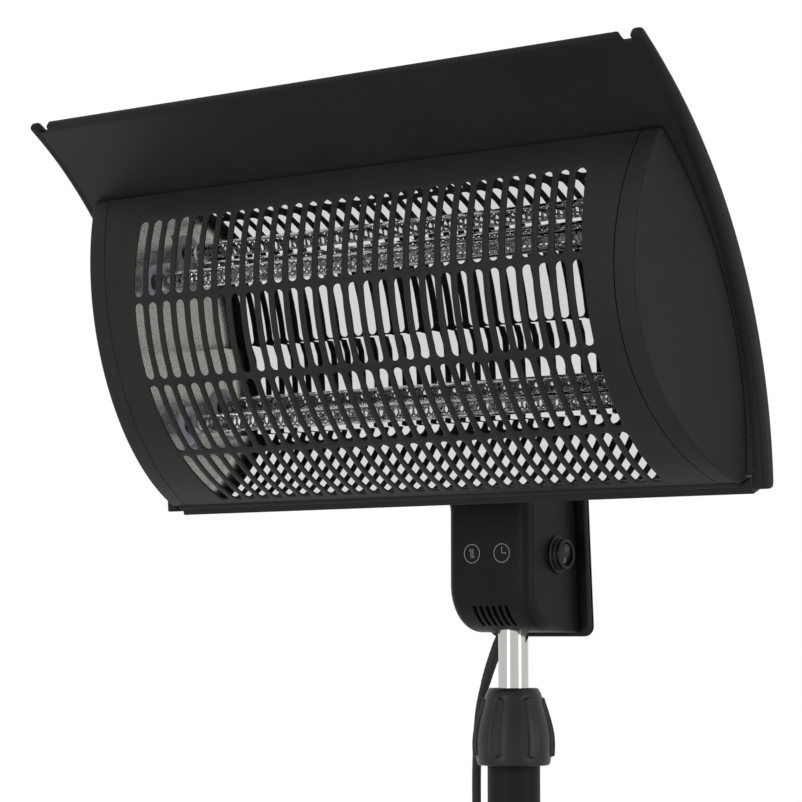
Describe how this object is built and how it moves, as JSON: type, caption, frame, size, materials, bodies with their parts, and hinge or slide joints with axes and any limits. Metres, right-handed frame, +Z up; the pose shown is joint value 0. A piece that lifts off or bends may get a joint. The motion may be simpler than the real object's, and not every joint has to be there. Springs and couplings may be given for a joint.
{
  "type": "infrared patio heater",
  "caption": "Free-standing infrared patio heater: tilting matt black canopy head with quartz tubes behind a slotted grille, on a telescopic pole with a round base.",
  "frame": {"origin": "centre of the round base on the floor, on the pole's axis, where the rubber feet rest", "axes": "+Z up along the pole, -Y is the front that the heater faces, +X is the right-hand end of the head seen from behind the front face's viewer"},
  "size_m": [0.532, 0.69, 1.6506],
  "materials": {
    "black_metal": "satin",
    "black_plastic": "satin",
    "switch_plastic": "satin",
    "rubber": "matte",
    "nylon": "satin",
    "polished_steel": "satin",
    "reflector_aluminium": "satin",
    "zinc_steel": "satin",
    "quartz": "gloss",
    "resistance_wire": "satin",
    "ceramic": "matte",
    "brass": "satin",
    "component_plastic": "satin",
    "circuit_board": "satin",
    "cast_iron": "matte"
  },
  "bodies": {
    "stand": {"outer_tube_upper": "black_metal", "outer_tube_lower": "black_metal", "tube_coupler": "black_plastic", "collar_sleeve": "black_plastic", "collet": "nylon", "base_weight": "cast_iron", "base_cover": "black_plastic", "base_flange": "zinc_steel", "base_bolts": "zinc_steel", "rubber_feet": "rubber", "mains_lead": "rubber", "mains_coil": "rubber", "plug_body": "black_plastic", "plug_pins": "brass"},
    "lock_ring": {"lock_collar": "black_plastic"},
    "mast": {"inner_tube": "polished_steel", "tube_guide_bush": "nylon", "control_box": "black_plastic", "back_plate": "black_plastic", "back_plate_screws": "zinc_steel", "touch_board": "circuit_board", "power_board": "circuit_board", "relay_block": "component_plastic", "tilt_switch": "component_plastic", "rocker_boot": "switch_plastic", "rocker_body": "switch_plastic", "cord_gland": "rubber", "neck_bracket": "black_metal", "neck_screw": "zinc_steel", "pivot_bolt": "zinc_steel", "pivot_washers": "zinc_steel"},
    "head": {"hood_shell": "black_metal", "front_grille": "black_metal", "end_cap_left": "black_metal", "end_cap_right": "black_metal", "bottom_rail": "black_metal", "back_reflector": "reflector_aluminium", "end_reflector_left": "reflector_aluminium", "end_reflector_right": "reflector_aluminium", "quartz_tube_upper": "quartz", "quartz_tube_lower": "quartz", "heating_coil_upper": "resistance_wire", "heating_coil_lower": "resistance_wire", "ceramic_bushes": "ceramic", "bush_screws": "zinc_steel", "tube_terminals": "brass", "inner_housing": "zinc_steel", "rear_terminal_cover": "black_metal", "thermal_cutout": "component_plastic", "head_bracket": "black_metal", "head_bracket_bolts": "zinc_steel", "cap_screws": "zinc_steel", "head_gland": "rubber"},
    "knob": {"tilt_knob": "black_plastic"},
    "switch_lever": {"rocker": "switch_plastic"}
  },
  "joints": [
    {"name": "collar_twist", "type": "hinge", "parent": "stand", "child": "lock_ring", "pos_m": [0, 0, 1.1683], "axis": [0, 0, 1], "range_deg": [0, 75]},
    {"name": "mast_slide", "type": "slide", "parent": "stand", "child": "mast", "axis": [0, 0, 1], "range_m": [-0.036, 0.45], "deforming": ["mains_lead"]},
    {"name": "head_tilt", "type": "hinge", "parent": "mast", "child": "head", "pos_m": [0, -0.055, 1.43], "axis": [1, 0, 0], "range_deg": [-21.1, 23.9]},
    {"name": "tilt_knob_turn", "type": "hinge", "parent": "mast", "child": "knob", "pos_m": [0.027, -0.055, 1.43], "axis": [1, 0, 0], "range_deg": [0, 360]},
    {"name": "power_rocker", "type": "hinge", "parent": "mast", "child": "switch_lever", "pos_m": [0.0414, 0.0053, 1.3264], "axis": [0, -1, 0], "range_deg": [0, 16]}
  ]
}
